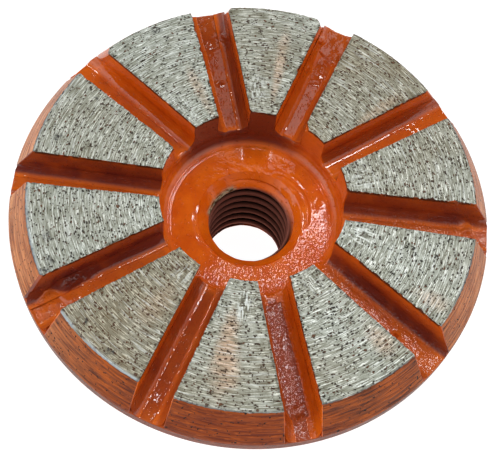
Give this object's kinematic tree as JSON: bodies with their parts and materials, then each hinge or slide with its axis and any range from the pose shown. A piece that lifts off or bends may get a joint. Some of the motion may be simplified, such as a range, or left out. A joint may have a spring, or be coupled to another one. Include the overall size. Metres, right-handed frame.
{
  "type": "diamond grinding wheel",
  "caption": "Round threaded grinding wheel with sintered diamond segments brazed in a ring on a dished steel plate, open radial grooves, a bevelled rim and a welded central hub.",
  "frame": {"origin": "centre of the hub's rear seat, which is also the lowest plane of the wheel", "axes": "+Z along the spindle axis from the hub seat towards the grinding face; +X along the middle of a groove, with the first segment centred near +Y"},
  "size_m": [0.08, 0.08, 0.028],
  "materials": {
    "painted_steel": "thick gloss orange enamel over turned steel, thin and streaky round the rim",
    "painted_hub": "gloss orange enamel outside, bare dark steel on the thread crests",
    "painted_weld": "gloss orange enamel over a rippled weld bead",
    "diamond_matrix": "ground sintered metal with exposed grit pits on top, orange enamel on its sides",
    "painted_braze": "gloss orange enamel over lumpy silver braze"
  },
  "bodies": {
    "root": {"backing_plate": "painted_steel", "threaded_hub": "painted_hub", "hub_weld_ring": "painted_weld", "segment_01": "diamond_matrix", "segment_02": "diamond_matrix", "segment_03": "diamond_matrix", "segment_04": "diamond_matrix", "segment_05": "diamond_matrix", "segment_06": "diamond_matrix", "segment_07": "diamond_matrix", "segment_08": "diamond_matrix", "segment_09": "diamond_matrix", "segment_10": "diamond_matrix", "braze_joint_01": "painted_braze", "braze_joint_02": "painted_braze", "braze_joint_03": "painted_braze", "braze_joint_04": "painted_braze", "braze_joint_05": "painted_braze", "braze_joint_06": "painted_braze", "braze_joint_07": "painted_braze", "braze_joint_08": "painted_braze", "braze_joint_09": "painted_braze", "braze_joint_10": "painted_braze"}
  },
  "joints": []
}
